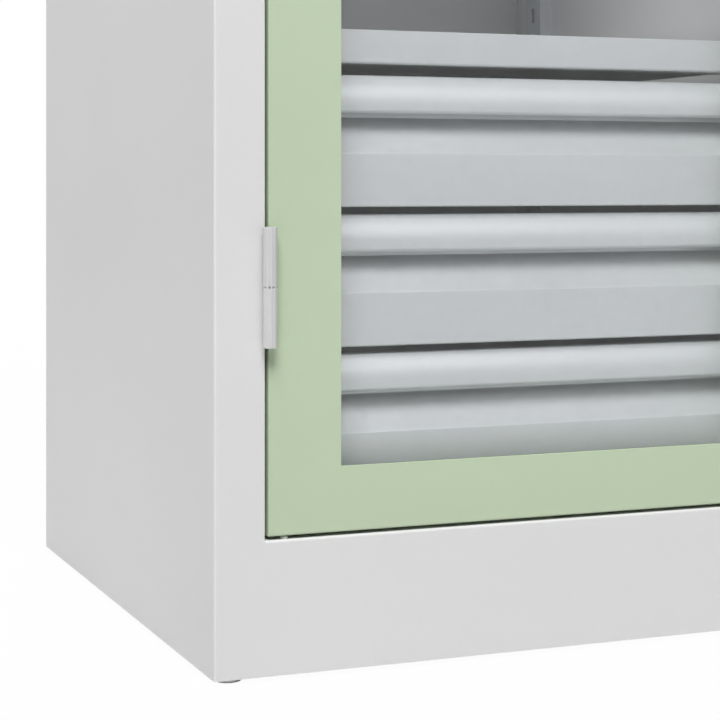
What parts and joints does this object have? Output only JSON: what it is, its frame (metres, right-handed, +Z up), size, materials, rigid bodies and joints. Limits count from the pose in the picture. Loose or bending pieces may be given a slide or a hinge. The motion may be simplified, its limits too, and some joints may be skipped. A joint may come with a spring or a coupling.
{
  "type": "heavy-duty cabinet",
  "caption": "Tall welded steel cabinet with inset window doors on barrel hinges, a rod lock, shelves on slotted uprights and roll-grip drawers on telescopic slides.",
  "frame": {"origin": "on the floor, in the middle of the outer box, so halfway along the width and the depth with the lever counted in", "axes": "+X to the right seen from the front, +Y from the front to the rear, +Z up"},
  "size_m": [1, 0.524, 1.95],
  "materials": {
    "body_paint": "satin light grey powder coat",
    "door_paint": "satin pale grey-green powder coat",
    "galvanised": "matt zinc-coated sheet",
    "slide_steel": "bright zinc-plated cold-rolled steel",
    "hinge_steel": "painted turned steel",
    "zinc": "zinc-plated steel",
    "window": "clear polycarbonate",
    "seal": "soft foam rubber",
    "nylon": "moulded nylon",
    "magnet": "ferrite magnet strip",
    "handle_black": "fine-grained black moulding"
  },
  "bodies": {
    "cabinet": {"left_side": "body_paint", "right_side": "body_paint", "back_panel": "body_paint", "top_panel": "body_paint", "floor_panel": "body_paint", "plinth_front": "body_paint", "head_rail": "body_paint", "centre_partition": "body_paint", "slotted_uprights": "galvanised", "left_shelf_1": "galvanised", "left_shelf_2": "galvanised", "left_shelf_3": "galvanised", "right_shelf_1": "galvanised", "right_shelf_2": "galvanised", "right_shelf_3": "galvanised", "right_shelf_4": "galvanised", "shelf_clips": "galvanised", "foot_plates": "zinc", "levelling_feet": "nylon", "door_glides": "nylon", "frame_knuckles": "hinge_steel", "hinge_pins": "hinge_steel", "catch_magnets": "magnet", "rod_strikes": "zinc", "slide_rails": "slide_steel", "drawer_carriers": "galvanised"},
    "left_door": {"left_door_panel": "door_paint", "left_door_gasket": "seal", "left_door_pane": "window", "left_door_liner": "door_paint", "left_door_knuckles": "hinge_steel"},
    "right_door": {"right_door_panel": "door_paint", "right_door_gasket": "seal", "right_door_pane": "window", "right_door_liner": "door_paint", "right_door_knuckles": "hinge_steel", "handle_rosette": "handle_black", "lock_case": "zinc", "rod_guides": "zinc"},
    "handle": {"handle_lever": "handle_black", "handle_spindle": "zinc", "lock_cam": "zinc"},
    "key_plug": {"key_plug": "zinc"},
    "upper_rod": {"upper_rod": "zinc"},
    "lower_rod": {"lower_rod": "zinc"},
    "drawer_1": {"drawer_1_front": "galvanised", "drawer_1_tray": "galvanised", "drawer_1_runners": "slide_steel"},
    "drawer_1_slides": {"drawer_1_middle_slides": "slide_steel"},
    "drawer_2": {"drawer_2_front": "galvanised", "drawer_2_tray": "galvanised", "drawer_2_runners": "slide_steel"},
    "drawer_2_slides": {"drawer_2_middle_slides": "slide_steel"},
    "drawer_3": {"drawer_3_front": "galvanised", "drawer_3_tray": "galvanised", "drawer_3_runners": "slide_steel"},
    "drawer_3_slides": {"drawer_3_middle_slides": "slide_steel"}
  },
  "joints": [
    {"name": "left_door_hinge", "type": "hinge", "parent": "cabinet", "child": "left_door", "pos_m": [-0.4622, -0.2438, 0.975], "axis": [0, 0, -1], "range_deg": [0, 180]},
    {"name": "right_door_hinge", "type": "hinge", "parent": "cabinet", "child": "right_door", "pos_m": [0.4622, -0.2438, 0.975], "axis": [0, 0, 1], "range_deg": [0, 180]},
    {"name": "handle_turn", "type": "hinge", "parent": "right_door", "child": "handle", "pos_m": [0.02825, -0.238, 1.05], "axis": [0, 1, 0], "range_deg": [0, 90]},
    {"name": "key_turn", "type": "hinge", "parent": "handle", "child": "key_plug", "pos_m": [0.02825, -0.238, 1.05], "axis": [0, 1, 0], "range_deg": [0, 90]},
    {"name": "upper_rod_slide", "type": "slide", "parent": "right_door", "child": "upper_rod", "axis": [0, 0, 1], "range_m": [0, 0.018]},
    {"name": "lower_rod_slide", "type": "slide", "parent": "right_door", "child": "lower_rod", "axis": [0, 0, -1], "range_m": [0, 0.018]},
    {"name": "drawer_1_slide", "type": "slide", "parent": "cabinet", "child": "drawer_1", "axis": [0, -1, 0], "range_m": [0, 0.4]},
    {"name": "drawer_1_slides_slide", "type": "slide", "parent": "cabinet", "child": "drawer_1_slides", "axis": [0, -1, 0], "range_m": [0, 0.2]},
    {"name": "drawer_2_slide", "type": "slide", "parent": "cabinet", "child": "drawer_2", "axis": [0, -1, 0], "range_m": [0, 0.4]},
    {"name": "drawer_2_slides_slide", "type": "slide", "parent": "cabinet", "child": "drawer_2_slides", "axis": [0, -1, 0], "range_m": [0, 0.2]},
    {"name": "drawer_3_slide", "type": "slide", "parent": "cabinet", "child": "drawer_3", "axis": [0, -1, 0], "range_m": [0, 0.4]},
    {"name": "drawer_3_slides_slide", "type": "slide", "parent": "cabinet", "child": "drawer_3_slides", "axis": [0, -1, 0], "range_m": [0, 0.2]}
  ],
  "couplings": [
    {"joint": "upper_rod_slide", "follows": "handle_turn", "m_per_rad": 0.011459},
    {"joint": "lower_rod_slide", "follows": "handle_turn", "m_per_rad": 0.011459},
    {"joint": "drawer_1_slide", "follows": "left_door_hinge", "m_per_rad": 0.0762},
    {"joint": "drawer_1_slides_slide", "follows": "left_door_hinge", "m_per_rad": 0.0381},
    {"joint": "drawer_2_slide", "follows": "left_door_hinge", "m_per_rad": 0.0762},
    {"joint": "drawer_2_slides_slide", "follows": "left_door_hinge", "m_per_rad": 0.0381},
    {"joint": "drawer_3_slide", "follows": "left_door_hinge", "m_per_rad": 0.0762},
    {"joint": "drawer_3_slides_slide", "follows": "left_door_hinge", "m_per_rad": 0.0381}
  ]
}
